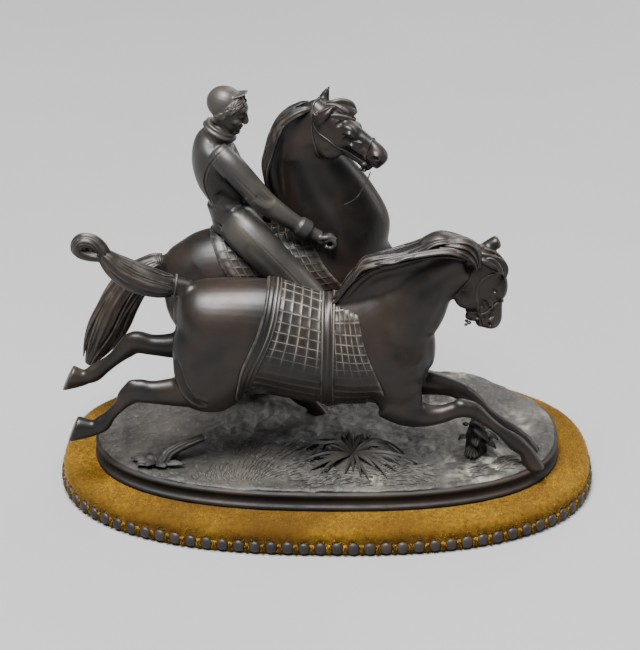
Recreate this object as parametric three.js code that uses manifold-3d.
import * as THREE from 'three';
import { mergeVertices } from 'three/addons/utils/BufferGeometryUtils.js';
import Module from 'manifold-3d';

const wasm = await Module();
wasm.setup();

// Sizes in millimetres. X runs along the group to the horses' heads, Y away from the
// viewer, Z up from the underside of the covered plinth.

// covered plinth
const plinthLength = 400;
const plinthWidth = 241;
const plinthHeight = 20;
const plinthEdgeRound = 7;
const ovalPower = 2.45;
const tackDiameter = 9.4;
const tackPitch = 11.9;
const tackDome = 2.6;
const tackHeight = 5.5;

// cast base with its moulded rim
const baseMarginEnds = 24;
const baseMarginSides = 27;
const baseHeight = 16;
const seatGap = 0.3;

// horses and rider
const horseLength = 194;
const horseSpacing = 80;
const riderHeight = 100;

// the pose tables further down are drawn for these sizes
const drawnHorse = 194;
const drawnRider = 100;

const groundLevel = plinthHeight + seatGap + baseHeight;
const baseLength = plinthLength - 2 * baseMarginEnds;
const baseWidth = plinthWidth - 2 * baseMarginSides;

// A closed skin over rings of equal point count, with a point to close each end.
function skin(rings, startPoint, endPoint) {
  const sides = rings[0].length;
  const points = rings.flat().concat([startPoint, endPoint]);
  const first = points.length - 2;
  const last = points.length - 1;
  const faces = [];
  for (let r = 0; r < rings.length - 1; r++) {
    for (let i = 0; i < sides; i++) {
      const a = r * sides + i;
      const b = r * sides + (i + 1) % sides;
      faces.push(a, b, b + sides, a, b + sides, a + sides);
    }
  }
  const top = (rings.length - 1) * sides;
  for (let i = 0; i < sides; i++) {
    faces.push(first, (i + 1) % sides, i);
    faces.push(last, top + i, top + (i + 1) % sides);
  }
  const places = points.flatMap((p) => [p.x, p.y, p.z]);
  const geometry = new THREE.BufferGeometry();
  geometry.setAttribute('position', new THREE.Float32BufferAttribute(places, 3));
  geometry.setIndex(faces);
  return geometry;
}

function middle(ring) {
  return ring.reduce((sum, p) => sum.add(p), new THREE.Vector3()).divideScalar(ring.length);
}

// A limb swept through stations [x, y, z, half across, half deep, angle].
// The angle, where given, is the way the ring faces in the upright plane, in degrees.
function limb(stations, options = {}) {
  const { sides = 8, across = [0, 1, 0], blunt = 0.35, phase = 0.5, thin = 0 } = options;
  const wide = new THREE.Vector3(...across).normalize();
  const centres = stations.map((s) => new THREE.Vector3(s[0], s[1], s[2]));
  const aims = stations.map((s, i) => {
    if (s[5] !== undefined) {
      const a = THREE.MathUtils.degToRad(s[5]);
      return new THREE.Vector3(Math.cos(a), 0, Math.sin(a));
    }
    const before = centres[Math.max(i - 1, 0)];
    const after = centres[Math.min(i + 1, centres.length - 1)];
    return after.clone().sub(before).normalize();
  });
  const rings = stations.map((s, i) => {
    const aim = aims[i];
    const side = wide.clone().addScaledVector(aim, -wide.dot(aim)).normalize();
    const deep = new THREE.Vector3().crossVectors(aim, side);
    const ring = [];
    for (let k = 0; k < sides; k++) {
      const t = ((k + phase) / sides) * 2 * Math.PI;
      const narrow = 1 - thin * Math.sin(t);
      ring.push(centres[i].clone()
        .addScaledVector(side, Math.cos(t) * s[3] * narrow)
        .addScaledVector(deep, Math.sin(t) * s[4]));
    }
    return ring;
  });
  const n = stations.length - 1;
  const startReach = -blunt * Math.min(stations[0][3], stations[0][4]);
  const endReach = blunt * Math.min(stations[n][3], stations[n][4]);
  const start = centres[0].clone().addScaledVector(aims[0], startReach);
  const end = centres[n].clone().addScaledVector(aims[n], endReach);
  return skin(rings, start, end);
}

function egg(x, y, z, rx, ry, rz, columns = 8, rows = 5) {
  return new THREE.SphereGeometry(1, columns, rows).scale(rx, ry, rz).translate(x, y, z);
}

// The body of a horse from sections [x, z, half across, half deep] square to its length.
function bodySection(table, x) {
  let i = 0;
  while (i < table.length - 2 && table[i + 1][0] < x) i++;
  const a = table[i];
  const b = table[i + 1];
  const t = THREE.MathUtils.clamp((x - a[0]) / (b[0] - a[0]), 0, 1);
  return a.map((v, j) => v + (b[j] - v) * t);
}

function bodyPoint(table, x, angle, lift) {
  const [, z, w, h] = bodySection(table, x);
  return new THREE.Vector3(x, Math.cos(angle) * (w + lift), z + Math.sin(angle) * (h + lift));
}

function body(table, sides) {
  const rings = table.map((row) => {
    const ring = [];
    for (let k = 0; k < sides; k++) {
      ring.push(bodyPoint(table, row[0], ((k + 0.5) / sides) * 2 * Math.PI, 0));
    }
    return ring;
  });
  return skin(rings, middle(rings[0]), middle(rings[rings.length - 1]));
}

// A cloth lying on the body from a back edge to a front edge, each given by the x of
// the edge on the back of the horse and the x of the edge under the belly.
function blanket(table, backEdge, frontEdge, lift, sides, rows) {
  const rings = [];
  for (let r = 0; r <= rows; r++) {
    const ring = [];
    for (let k = 0; k < sides; k++) {
      const angle = ((k + 0.5) / sides) * 2 * Math.PI;
      const low = 0.5 - 0.5 * Math.sin(angle);
      const from = THREE.MathUtils.lerp(backEdge[0], backEdge[1], low);
      const to = THREE.MathUtils.lerp(frontEdge[0], frontEdge[1], low);
      ring.push(bodyPoint(table, THREE.MathUtils.lerp(from, to, r / rows), angle, lift));
    }
    rings.push(ring);
  }
  return skin(rings, middle(rings[0]), middle(rings[rows]));
}

// Tables below are in the horse's own frame: x along it, y across it, z up from the ground.

// running horse, without a rider
const runnerBody = [
  [-108, 118, 8, 9], [-103, 116, 19, 20], [-94, 111, 27, 31], [-80, 108, 30.5, 36],
  [-62, 105, 30.5, 39.5], [-40, 100, 30, 44], [-20, 95, 30, 43], [0, 90, 29.5, 40.5],
  [20, 88, 29, 39], [40, 88.5, 27.5, 38.5], [56, 89, 24, 35], [69, 90, 18.5, 27], [75.5, 92, 12, 16],
];
const runnerNeck = [
  [18, 0, 98, 27, 38], [39, 0, 111, 24.5, 36], [58, 0, 127, 19.5, 30],
  [72, -1, 144, 15, 22.5], [86, -1, 156, 12.5, 18.5], [97, -2, 162, 11, 15],
];
const runnerHaunch = [
  [-76, 5, 130, 8, 13], [-77, 11, 118, 14, 26], [-79, 14, 97, 17, 32], [-83, 15.5, 75, 16, 27.5],
  [-86, 15.5, 58, 12, 22.5], [-87, 15.5, 50, 8, 15],
];
const runnerShoulder = [
  [24, 8, 118, 9, 15], [34, 12, 102, 13, 22], [46, 13.5, 86, 14.5, 24], [51, 13.5, 68, 12.5, 20],
  [51, 13, 52, 9.5, 15],
];
const runnerNearHind = [
  [-88, -15.5, 63, 10, 15], [-109, -15.5, 61.5, 8.5, 12], [-126, -15.5, 61, 7, 9.4],
  [-137, -15.5, 62, 6.3, 9.8], [-144.5, -15.5, 57.5, 5.4, 8], [-151, -15.5, 49.5, 4.4, 5],
  [-158, -15.5, 41.5, 4.1, 4.7], [-164, -15.5, 34.5, 5.4, 6.8], [-169.5, -15.5, 30.5, 4.9, 5.8],
];
const runnerFarHind = [
  [-80, 13, 84, 11, 17], [-100, 12.5, 86, 10, 13.5], [-114, 12, 85, 8.5, 10], [-128, 12, 85.5, 7, 8.4],
  [-140, 12, 87.5, 6.3, 9.4], [-147.5, 12, 82, 5.4, 8], [-156, 12, 74, 4.4, 5.8],
  [-165, 12, 66.5, 4.6, 6], [-172, 12, 61, 5.4, 7], [-178, 12, 57.5, 4.9, 5.6],
];
const runnerNearFore = [
  [48, -13, 55, 11, 17], [60, -13, 46.5, 10.5, 14], [72, -12.5, 42, 8.5, 9.6], [84, -12, 42.5, 6.8, 7.4],
  [94, -12, 46, 6, 6.8], [102, -12, 47.5, 6, 7.2], [109, -12, 45, 5, 6.6], [118, -12, 37.5, 4, 4.8],
  [128, -12, 29, 3.7, 4.3], [136, -12, 22, 4.8, 6], [141, -12, 17.5, 5.2, 6.6], [147, -12, 12.5, 4.7, 5.6],
];
const runnerFarFore = [
  [48, 10, 66, 10, 15], [64, 10, 59, 9.5, 12.5], [80, 10, 56, 8, 9.4], [93, 10, 52.5, 6.4, 7.4],
  [103, 10, 47, 5.8, 7], [111, 10, 40.5, 4.8, 6], [119, 10, 32.5, 4, 4.6], [129, 10, 24, 3.7, 4.3],
  [136, 10, 17.5, 4.8, 5.8], [142, 10, 12.5, 5, 6], [147, 10, 9, 4.6, 5.4],
];
const runnerTail = [
  [-98, 0, 138, 6, 8], [-108, 0, 140.5, 7, 8.5], [-118, -1, 142, 8, 9.5], [-129, -2, 145.5, 9, 10.8],
  [-140, -2, 150, 8.5, 10.8], [-150, -2, 156.5, 6.8, 9], [-157, -2, 163.5, 4.8, 5.6], [-162, -2, 167, 4.6, 5],
];
const runnerKnot = [
  [-157, -2, 165, 5, 4.6], [-161, -2, 171.5, 5.4, 4.4], [-166, -2, 176.5, 5.6, 4.2],
  [-173.5, -2, 177, 5.6, 4.2], [-177.5, -2, 171.5, 5.6, 4.2], [-175, -2, 167.5, 5.4, 4],
  [-168, -2, 165.5, 5.2, 3.8], [-160, -2, 165.5, 5, 3.6],
];
const runnerMane = [
  [108, -2, 170, 6, 5], [98, -4, 175.5, 9.5, 6], [81, -6, 178, 11, 6.5], [68, -7, 171.5, 11.5, 6],
  [50, -8, 165.5, 11.5, 5.5], [33, -9, 160, 11, 5], [22, -9, 150.5, 10.5, 5], [13, -7, 137, 8.5, 5],
  [3, -4, 128.5, 5, 3],
];
const runnerManeRoot = [
  [84, -1, 169, 7, 8], [62, -2, 159.5, 8, 9.5], [40, -4, 150, 9, 11], [20, -4, 135, 8, 9],
];

// ridden horse, bodied up in a canter
const mountBody = [
  [-124, 112, 8, 10], [-119, 109, 18, 20], [-110, 106.5, 26, 29], [-99, 106.5, 29.5, 36],
  [-84, 108, 31, 39], [-65, 110, 30, 39], [-45, 110, 29.5, 39], [-25, 112, 29, 40],
  [-5, 114, 28.5, 41], [14, 117, 27, 39], [30, 119, 23.5, 33], [41, 121, 17, 23], [48, 122, 9, 11],
];
const mountNeck = [
  [2, 0, 128, 26, 41, 92], [6.5, 0, 152, 23.5, 40, 98], [-1, -1, 176, 20, 35, 106],
  [-9.5, -3, 198, 16.5, 28.5, 105], [-15, -6, 217, 14, 22.5, 96], [-12, -9, 234, 12.5, 19.5, 78],
  [-6, -11, 246, 10.5, 13, 60],
];
const mountHaunch = [
  [-90, 5, 130, 8, 13], [-92, 11, 118, 14, 26], [-92, 14, 96, 16.5, 30.5], [-81, 16, 76, 15, 27],
  [-71, 16, 60, 11, 20],
];
const mountShoulder = [
  [4, 9, 132, 9, 16], [12, 12, 116, 13.5, 22], [20, 13.5, 100, 13.5, 22], [23, 13.5, 84, 11, 17],
];
const mountNearHind = [
  [-78, -16, 76, 12, 22], [-68, -16, 60, 9.5, 15], [-57, -16, 42, 6.6, 9.2], [-46, -16, 29.5, 4.8, 6.6],
  [-30, -16, 18.5, 4.2, 5], [-19, -16, 11, 5.2, 6.2], [-13, -16, 8, 4.8, 5.6],
];
const mountFarHind = [
  [-84, 16, 74, 12, 22], [-82, 16, 57, 9.5, 15], [-85, 16, 38, 6.6, 9], [-80, 16, 27, 4.8, 6.6],
  [-68, 16, 17, 4.2, 5], [-60, 16, 10.5, 5.2, 6], [-54, 16, 8, 4.8, 5.6],
];
const mountNearFore = [
  [22, -13, 88, 10, 18], [38, -13, 84, 9, 12], [53, -13, 85.5, 6.2, 7.6], [65, -13, 87, 5.6, 6.6],
  [69, -13, 82, 4.8, 5.8], [64, -13, 69, 3.8, 4.4], [56, -13, 57, 4.8, 5.6], [50, -13, 53, 4.4, 5],
];
const mountFarFore = [
  [24, 13, 90, 10, 18], [40, 13, 93, 9, 12], [54, 13, 98, 6.2, 7.6], [66, 13, 102, 5.6, 6.6],
  [71, 13, 98, 4.8, 5.8], [69, 13, 85, 3.8, 4.4], [63, 13, 73, 4.8, 5.6], [57, 13, 69, 4.4, 5],
];
const mountTail = [
  [-118, 0, 121, 5, 5.5], [-125, 0, 120, 6, 5.5], [-134, 0, 114, 9, 8.5], [-147, 0, 103, 12, 12],
  [-158, 0, 86, 13, 14], [-167, 0, 67, 12, 14.5], [-176, 0, 49, 9, 11], [-184, 0, 32, 4, 4.5],
];
const mountMane = [
  [-5, -10, 249, 7, 4.5], [-17, -11, 247.5, 10, 5.6], [-31, -11, 237, 11.5, 6.2], [-39, -11, 215, 12.5, 6.4],
  [-40.5, -11, 198, 12.5, 6.4], [-34.5, -9, 168, 8, 5],
];

// rider, in the frame of the horse beneath
const riderTorso = [
  [-66, 0, 148, 18, 16], [-67, 0, 160, 17.5, 16], [-72, 0, 176, 17.5, 16.5], [-79, 0, 192, 19.5, 18.5],
  [-83, 0, 206, 21.5, 17.5], [-84, 0, 217, 19.5, 14.5], [-81, -1, 225, 12, 10], [-78, -2, 231, 8.5, 8],
];
const riderHead = [
  [-76.5, -2, 229, 8, 8.5], [-74, -3, 235, 10, 12.5], [-71.5, -4, 242, 11.8, 15],
  [-71, -5, 249, 12.2, 15.5],
  [-71.5, -5, 256, 11.2, 13.5], [-73, -5, 261, 7.5, 9],
];
const riderNearArm = [
  [-80, -17, 216, 8, 9.5], [-70, -22, 208.5, 9, 10], [-55, -26, 192.5, 8.4, 9.2], [-44, -26, 180, 8, 8.6],
  [-25, -26, 166, 6, 6.4], [-16, -26, 159.5, 6.4, 6.8], [-10, -26, 156.5, 5, 5.4], [-2, -26, 152, 6.4, 7],
  [4, -26, 148.5, 4.6, 5],
];
const riderFarArm = [
  [-81, 16, 214, 8, 9.5], [-80, 22, 198, 8.6, 9.4], [-72, 23, 178, 7.8, 8.4], [-56, 19, 169.5, 6.4, 6.6],
  [-45, 15, 165, 6, 6.2], [-39, 13, 163, 5, 5.4],
];
const riderNearLeg = [
  [-68, -14, 160, 13, 16], [-58, -22, 153, 14, 15.5], [-43, -29, 139, 13, 14], [-24, -33, 121, 11.4, 12.6],
  [-8, -34, 103, 10, 11], [1, -33, 88, 8.8, 9.8], [5, -33, 76, 7.2, 7.8], [7, -33, 67, 5.6, 6.4],
];
const riderShoe = [
  [0, -33, 63.5, 4.4, 5.2], [8, -33.5, 62.5, 5, 5.8], [17, -34.5, 60, 5, 4.2], [26, -36, 58, 4, 2.8],
];

// A horse's head along X from the poll to the lips, as shares of its length:
// [along, drop of the middle below the forehead line, half across, half deep]
const headSections = [
  [0.0, 0.17, 0.1, 0.13], [0.1, 0.22, 0.135, 0.21], [0.24, 0.262, 0.155, 0.26], [0.38, 0.262, 0.15, 0.262],
  [0.5, 0.222, 0.12, 0.218], [0.64, 0.168, 0.094, 0.16], [0.77, 0.145, 0.085, 0.134],
  [0.88, 0.145, 0.096, 0.134], [0.96, 0.15, 0.088, 0.116], [1.0, 0.155, 0.06, 0.08],
];
const jawSections = [
  [0.4, 0.37, 0.09, 0.11], [0.58, 0.34, 0.062, 0.062], [0.74, 0.318, 0.052, 0.048],
  [0.86, 0.312, 0.052, 0.05], [0.93, 0.3, 0.036, 0.032],
];

function ear(root, reach, tip) {
  const length = Math.hypot(...reach);
  const outline = [[0, 0.24, 0.18], [0.5, 0.27, 0.18], [1, tip, tip]];
  const rows = outline.map(([t, w, d]) => [
    root[0] + t * reach[0], root[1] + t * reach[1], root[2] + t * reach[2], w * length, d * length,
  ]);
  return limb(rows, { sides: 6, across: [0.5, 0.85, 0], blunt: 0.2 });
}

// turn is toward the viewer, nod lowers the lips, tilt leans the head; deep thickens it
// from brow to jaw; the jowl is in shares of the head; each ear is its root, its reach
// and the share of its length left at the tip; the forelock is an egg
function horseHead({ at, length, deep, turn, nod, tilt, jowl, ears, forelock }) {
  const sized = ([s, v, w, h]) => [s * length, 0, -v * deep * length, w * length, h * deep * length];
  const parts = [
    limb(headSections.map(sized), { sides: 8, thin: -0.14, blunt: 0.4 }),
    limb(jawSections.map(sized), { sides: 5 }),
  ];
  const [s, y, v, rs, ry, rv] = jowl.map((share) => share * length);
  for (const side of [-1, 1]) {
    parts.push(egg(s, side * y, -v * deep, rs, ry, rv * deep, 5, 3));
  }
  const pose = new THREE.Matrix4().makeTranslation(...at)
    .multiply(new THREE.Matrix4().makeRotationZ(THREE.MathUtils.degToRad(-turn)))
    .multiply(new THREE.Matrix4().makeRotationY(THREE.MathUtils.degToRad(nod)))
    .multiply(new THREE.Matrix4().makeRotationX(THREE.MathUtils.degToRad(tilt)));
  parts.forEach((g) => g.applyMatrix4(pose));
  ears.forEach(([root, reach, tip]) => parts.push(ear(root, reach, tip)));
  parts.push(egg(...forelock, 6, 4));
  return parts;
}

// A hoof from the last ring of a leg, facing the given angle, to its sole ring.
function hoof(leg, angle, sole) {
  const [x, y, z, w, h] = leg[leg.length - 1];
  return limb([[x, y, z, w * 1.06, h * 1.06, angle], sole], { sides: 6, blunt: 0 });
}

function oval(halfX, halfY, angle) {
  const c = Math.cos(angle);
  const s = Math.sin(angle);
  return [
    halfX * Math.sign(c) * Math.abs(c) ** (2 / ovalPower),
    halfY * Math.sign(s) * Math.abs(s) ** (2 / ovalPower),
  ];
}

// Rings of an oval, each [inset from the outline, height], closed by a point in the middle
// at each end. A ring with a third value, its share of the full size, takes the lift.
function ovalStack(length, width, profile, sides, lift = () => 0) {
  const rings = profile.map(([inset, z, share]) => {
    const ring = [];
    for (let k = 0; k < sides; k++) {
      const angle = (k / sides) * 2 * Math.PI;
      const [x, y] = oval((share ?? 1) * (length / 2 - inset), (share ?? 1) * (width / 2 - inset), angle);
      ring.push(new THREE.Vector3(x, y, share === undefined ? z : z + lift(x, y)));
    }
    return ring;
  });
  const low = new THREE.Vector3(0, 0, profile[0][1]);
  const high = new THREE.Vector3(0, 0, profile[profile.length - 1][1] + lift(0, 0));
  return skin(rings, low, high);
}

// velvet-covered plinth with its row of tacks
const plinthProfile = [[0.5, 0], [0, 0.6], [0, plinthHeight - plinthEdgeRound]];
for (const angle of [30, 60, 90]) {
  const a = THREE.MathUtils.degToRad(angle);
  plinthProfile.push([
    plinthEdgeRound * (1 - Math.cos(a)),
    plinthHeight - plinthEdgeRound * (1 - Math.sin(a)),
  ]);
}

function tackRow() {
  const samples = 720;
  const path = [];
  for (let i = 0; i <= samples; i++) {
    path.push(oval(plinthLength / 2, plinthWidth / 2, (i / samples) * 2 * Math.PI));
  }
  const along = [0];
  for (let i = 1; i <= samples; i++) {
    along.push(along[i - 1] + Math.hypot(path[i][0] - path[i - 1][0], path[i][1] - path[i - 1][1]));
  }
  const count = Math.round(along[samples] / tackPitch);
  const tacks = [];
  for (let n = 0; n < count; n++) {
    const target = ((n + 0.5) / count) * along[samples];
    const i = along.findIndex((d) => d >= target);
    const [x, y] = path[i];
    const [px, py] = path[i - 1];
    const heading = Math.atan2(y - py, x - px);
    const head = new THREE.ConeGeometry(tackDiameter / 2, tackDome + 1.5, 4, 1);
    head.rotateZ(-Math.PI / 2).rotateX(Math.PI / 2);
    head.translate((tackDome + 1.5) / 2 - 1.5, 0, tackHeight);
    head.rotateZ(heading - Math.PI / 2).translate(x, y, 0);
    tacks.push(head);
  }
  return tacks;
}

// ground on its moulded rim
function groundShape(x, y) {
  const mound = (cx, cy, height, spread) => {
    const away = ((x - cx) ** 2 + (y - cy) ** 2) / spread ** 2;
    return height * Math.exp(-away);
  };
  const out = (Math.abs(x) / (baseLength / 2)) ** ovalPower + (Math.abs(y) / (baseWidth / 2)) ** ovalPower;
  const edge = Math.min(1, 3 * Math.max(0, 1 - out));
  const rough = 0.8 * Math.sin(x * 0.11 + 1) * Math.sin(y * 0.13) + 0.5 * Math.sin(x * 0.047 - y * 0.09);
  return rough * edge + mound(104, 70, 7, 26) + mound(20, -45, 3, 34) + mound(-40, -20, 2, 30);
}

const rimFoot = plinthHeight + seatGap;
const baseProfile = [[0, 0], [0, 3], [2.2, 4.2], [2.2, 10], [0.7, 11.2], [0.7, 13.4], [3.2, baseHeight - 0.6]]
  .map(([inset, z]) => [inset, rimFoot + z]);

function ground() {
  const field = [1, 0.82, 0.56, 0.26].map((share) => [4, groundLevel, share]);
  return ovalStack(baseLength, baseWidth, [...baseProfile, ...field], 32, groundShape);
}

// A long leaf rising from the ground and bending over.
function leaf(x, y, heading, length, width, rise) {
  const a = THREE.MathUtils.degToRad(heading);
  const rows = [[0, 0.35], [0.5, 1], [1, 0.15]].map(([t, w]) => [
    x + Math.cos(a) * t * length,
    y + Math.sin(a) * t * length,
    groundLevel + groundShape(x, y) - 1 + rise * Math.sin(t * 2.2),
    width * w * 0.5,
    1.3 - 0.6 * t,
  ]);
  return limb(rows, { sides: 4, phase: 0, across: [-Math.sin(a), Math.cos(a), 0.2], blunt: 0.2 });
}

function plants() {
  const parts = [];
  const spray = [
    [-168, 42, 5, 6], [-132, 36, 5, 6], [-92, 30, 5, 5], [-52, 37, 5, 6], [-16, 48, 5, 9], [14, 40, 6, 13],
    [48, 28, 6, 14], [96, 22, 6, 14], [140, 30, 6, 10], [164, 40, 6, 8],
  ];
  for (const [heading, length, width, rise] of spray) {
    parts.push(leaf(19, -43, heading, length, width, rise));
  }
  for (const [heading, length] of [[165, 18], [225, 16], [-40, 20], [20, 18]]) {
    parts.push(leaf(-126, -56, heading, length, 8, 4));
  }
  return parts;
}

// broken branch on the left and the leafy stump under the stretched foreleg
const branchRows = [
  [-133, -62, 1, 4, 3.4], [-123, -53, 4.5, 4.6, 4], [-112, -42, 6, 4.6, 4], [-101, -29, 6.5, 4.2, 3.6],
  [-94, -20, 6.5, 3.4, 3], [-89, -12, 6.5, 1.6, 1.6],
];
const stumpRows = [
  [116, -34, -3, 11, 10], [116, -37, 7, 9, 9], [116, -42, 17, 9, 9], [117, -48, 27, 8, 7.5],
  [117, -51, 33, 5.5, 4.5],
];
// each leaf on the stump: x, y, height, heading, length
const stumpLeaves = [
  [114, -48, 20, -60, 14], [118, -44, 18, -10, 18], [110, -44, 16, 200, 11], [114, -48, 14, -110, 14],
  [121, -42, 12, 20, 14],
];

function woodwork() {
  const lifted = (rows) => rows.map(([x, y, z, w, h]) => [x, y, groundLevel + z, w, h]);
  const parts = [
    limb(lifted(branchRows), { sides: 7, across: [0.7, -0.7, 0] }),
    limb(lifted(stumpRows), { sides: 8, across: [0, 1, 0] }),
  ];
  for (const [x, y, z, heading, length] of stumpLeaves) {
    const a = THREE.MathUtils.degToRad(heading);
    const rows = [[0, 0.4], [0.5, 1], [1, 0.15]].map(([t, w]) => [
      x + Math.cos(a) * t * length,
      y + Math.sin(a) * t * length,
      groundLevel + z - 12 * t * t,
      4 * w,
      1.2,
    ]);
    parts.push(limb(rows, { sides: 4, phase: 0, across: [-Math.sin(a), Math.cos(a), 0], blunt: 0.2 }));
  }
  return parts;
}

const runnerHead = {
  at: [127, -2, 170],
  length: 59.5,
  deep: 1.26,
  turn: 6,
  nod: 89,
  tilt: 0,
  jowl: [0.6, 0.07, 0.33, 0.15, 0.065, 0.15],
  ears: [[[108, -8, 169], [13, -4, 3], 0.08], [[109, 4, 164], [12, 1, 9], 0.28]],
  forelock: [126, -4, 149, 5.5, 7, 10],
};
const mountHead = {
  at: [-6, -11, 262],
  length: 67,
  deep: 1,
  turn: 27,
  nod: 31,
  tilt: -6,
  jowl: [0.42, 0.075, 0.36, 0.18, 0.065, 0.19],
  ears: [[[-2, -17, 254], [-4, -10, -9], 0.08], [[-3, -7, 251], [4, -1, 14], 0.08]],
  forelock: [15, -16, 252, 9, 7, 6],
};
const runnerBlanketBack = [-37, -62];
const runnerBlanketFront = [22, 46];
const mountBlanketBack = [-88, -40];
const mountBlanketFront = [-14, 34];

function runner() {
  const parts = [
    body(runnerBody, 12),
    limb(runnerNeck, { sides: 10, thin: 0.12 }),
    blanket(runnerBody, runnerBlanketBack, runnerBlanketFront, 1.5, 12, 3),
    blanket(runnerBody, [-38, -63], [-33, -58], 3.2, 12, 1),
    blanket(runnerBody, [-1, -2], [5, 4], 2.8, 12, 1),
    limb(runnerNearHind, { sides: 6 }),
    limb(runnerFarHind, { sides: 6 }),
    limb(runnerNearFore, { sides: 6 }),
    limb(runnerFarFore, { sides: 6 }),
    hoof(runnerNearHind, 190, [-186, -15.5, 29.5, 8, 11, 158]),
    hoof(runnerFarHind, 190, [-191.5, 12, 57, 8, 11, 155]),
    hoof(runnerNearFore, -40, [155, -12, -3, 6.4, 7.6, -90]),
    hoof(runnerFarFore, -40, [154, 10, -3, 6.4, 7.4, -90]),
    limb(runnerTail, { sides: 7 }),
    limb(runnerKnot, { sides: 6 }),
    limb(runnerMane, { sides: 6 }),
    limb(runnerManeRoot, { sides: 5 }),
    ...horseHead(runnerHead),
  ];
  for (const side of [-1, 1]) {
    parts.push(limb(mirrored(runnerHaunch, side), { sides: 7 }));
    parts.push(limb(mirrored(runnerShoulder, side), { sides: 7 }));
  }
  return parts;
}

function mirrored(table, side) {
  return table.map((row) => row.map((v, i) => (i === 1 ? v * side : v)));
}

function mount() {
  const parts = [
    body(mountBody, 12),
    limb(mountNeck, { sides: 10, thin: 0.12 }),
    blanket(mountBody, mountBlanketBack, mountBlanketFront, 1.5, 12, 2),
    limb(mountNearHind, { sides: 6 }),
    limb(mountFarHind, { sides: 6 }),
    limb(mountNearFore, { sides: 6 }),
    limb(mountFarFore, { sides: 6 }),
    hoof(mountNearHind, -40, [-4, -16, -4, 7, 7.6, -90]),
    hoof(mountFarHind, -40, [-46, 16, -4, 7, 7.6, -90]),
    hoof(mountNearFore, 200, [38, -13, 48, 6.5, 7.5, 215]),
    hoof(mountFarFore, 200, [45, 13, 64, 6.5, 7.5, 215]),
    limb(mountTail, { sides: 7 }),
    limb(mountMane, { sides: 6 }),
    ...horseHead(mountHead),
  ];
  for (const side of [-1, 1]) {
    parts.push(limb(mirrored(mountHaunch, side), { sides: 7 }));
    parts.push(limb(mirrored(mountShoulder, side), { sides: 7 }));
  }
  return parts;
}

function rider() {
  const parts = [
    limb(riderTorso, { sides: 9 }),
    limb(riderHead, { sides: 10 }),
    limb(riderNearArm, { sides: 7 }),
    limb(riderFarArm, { sides: 6 }),
    limb(riderNearLeg, { sides: 7 }),
    limb(mirrored(riderNearLeg, -1), { sides: 7 }),
    limb(riderShoe, { sides: 6 }),
    limb(mirrored(riderShoe, -1), { sides: 6 }),
  ];
  // skull cap and its small upturned peak
  parts.push(egg(-73, -5, 255, 13.5, 12.5, 10.5, 9, 5));
  parts.push(limb([[-67, -5, 254, 8, 1.4], [-60, -5, 256, 7, 1.2], [-57.5, -5, 259, 4, 0.8]], { sides: 5 }));
  // rolled collar
  parts.push(limb([[-78, -2, 226, 13, 11.5], [-77, -2, 231, 12, 11], [-76, -2.5, 234, 9, 9]], { sides: 9 }));
  return parts;
}

function placed(parts, y, scale) {
  const pose = new THREE.Matrix4().makeTranslation(0, y, groundLevel)
    .scale(new THREE.Vector3(scale, scale, scale));
  return parts.map((g) => g.clone().applyMatrix4(pose));
}

// joins overlapping closed shapes into one skin
function fused(shapes) {
  let whole = null;
  for (const shape of shapes) {
    const plain = shape.clone();
    plain.deleteAttribute('normal');
    plain.deleteAttribute('uv');
    const welded = mergeVertices(plain, 1e-4);
    const mesh = new wasm.Mesh({
      numProp: 3,
      vertProperties: new Float32Array(welded.attributes.position.array),
      triVerts: new Uint32Array(welded.index.array),
    });
    const solid = new wasm.Manifold(mesh);
    whole = whole ? whole.add(solid) : solid;
  }
  const mesh = whole.getMesh();
  const geometry = new THREE.BufferGeometry();
  geometry.setAttribute('position', new THREE.BufferAttribute(mesh.vertProperties, 3));
  geometry.setIndex(new THREE.BufferAttribute(mesh.triVerts, 1));
  geometry.computeVertexNormals();
  return geometry;
}

const horseScale = horseLength / drawnHorse;
const riderScale = riderHeight / drawnRider;
const seat = new THREE.Vector3(-66, 0, 150);
const riderPose = new THREE.Matrix4().makeTranslation(seat)
  .scale(new THREE.Vector3(riderScale, riderScale, riderScale))
  .multiply(new THREE.Matrix4().makeTranslation(seat.clone().negate()));
const seated = rider().map((g) => g.clone().applyMatrix4(riderPose));

const bronze = new THREE.MeshStandardMaterial({ color: 0x2b2622, roughness: 0.42, metalness: 0.85 });
const velvet = new THREE.MeshStandardMaterial({ color: 0xb07d1e, roughness: 0.95, metalness: 0 });

const group = new THREE.Group();

const casting = new THREE.Mesh(fused([
  ground(),
  ...plants(),
  ...woodwork(),
  ...placed(runner(), -horseSpacing / 2, horseScale),
  ...placed([...mount(), ...seated], horseSpacing / 2, horseScale),
]), bronze);
casting.name = 'bronze_group';
group.add(casting);

const plinth = new THREE.Mesh(fused([
  ovalStack(plinthLength, plinthWidth, plinthProfile, 40),
  ...tackRow(),
]), velvet);
plinth.name = 'velvet_plinth';
group.add(plinth);

export default group;
